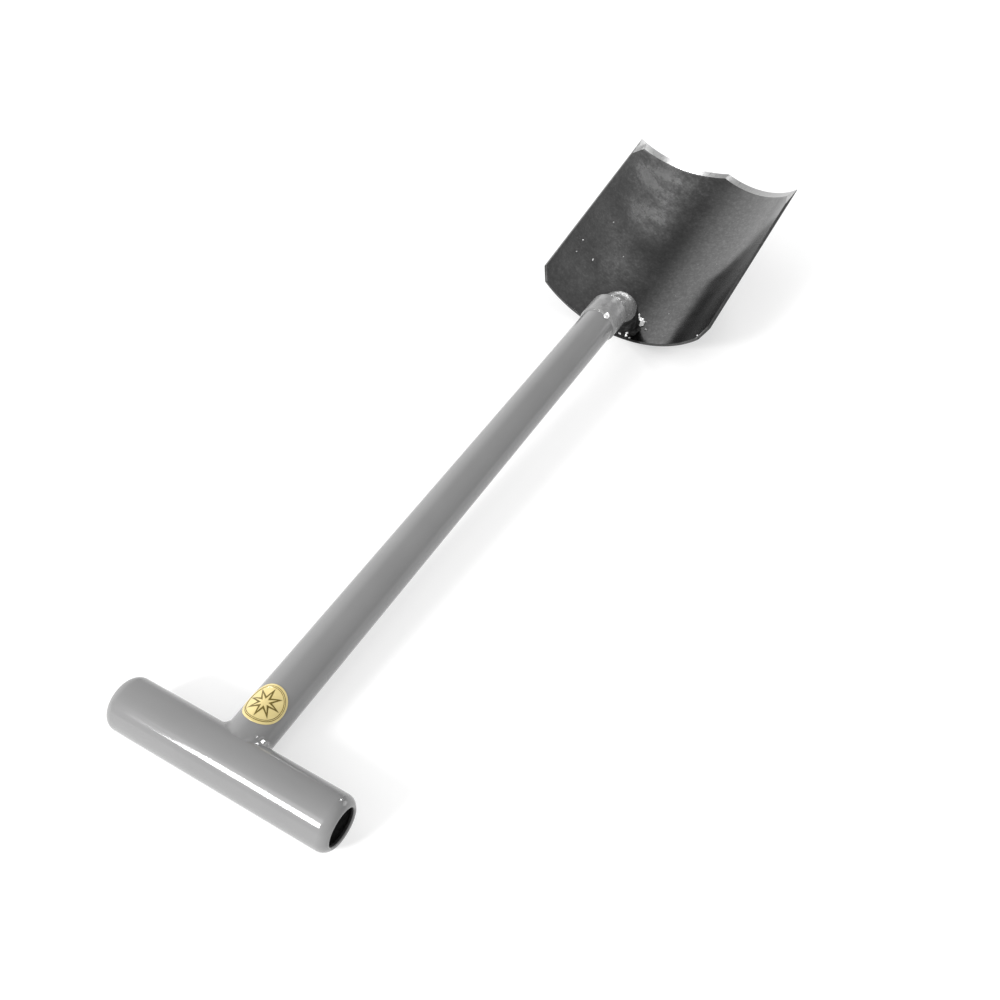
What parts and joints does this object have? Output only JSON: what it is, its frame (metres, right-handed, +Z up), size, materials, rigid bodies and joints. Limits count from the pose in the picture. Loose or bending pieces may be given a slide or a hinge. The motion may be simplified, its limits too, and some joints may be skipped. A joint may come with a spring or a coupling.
{
  "type": "detecting shovel",
  "caption": "Short welded steel tube shovel for metal detecting, with a T grip, a bent neck and a deep dished blade with a ground point.",
  "frame": {"origin": "middle of the shovel's footprint on the floor, halfway from the back of the grip to the blade's point", "axes": "+X across the shovel along the grip, +Y from the grip to the blade's point, +Z up out of the dish, with the shovel lying face up on its grip and heel"},
  "size_m": [0.174, 0.8632, 0.0957],
  "materials": {
    "grey_enamel": "glossy grey enamel on steel, with a faint orange peel",
    "bare_weld": "bright rippled weld metal, part painted",
    "blade_steel": "dark rolled steel with cloudy mill scale and a bright ground edge",
    "gold_foil": "pale gold foil label, glossy",
    "dark_gold_print": "raised dark gold emblem"
  },
  "bodies": {
    "root": {"grip_tube": "grey_enamel", "grip_weld": "grey_enamel", "shaft_tube": "grey_enamel", "neck_sleeve": "grey_enamel", "sleeve_weld": "grey_enamel", "neck_tube": "grey_enamel", "neck_weld": "grey_enamel", "base_weld": "bare_weld", "blade": "blade_steel", "label_disc": "gold_foil", "label_emblem": "dark_gold_print"}
  },
  "joints": []
}
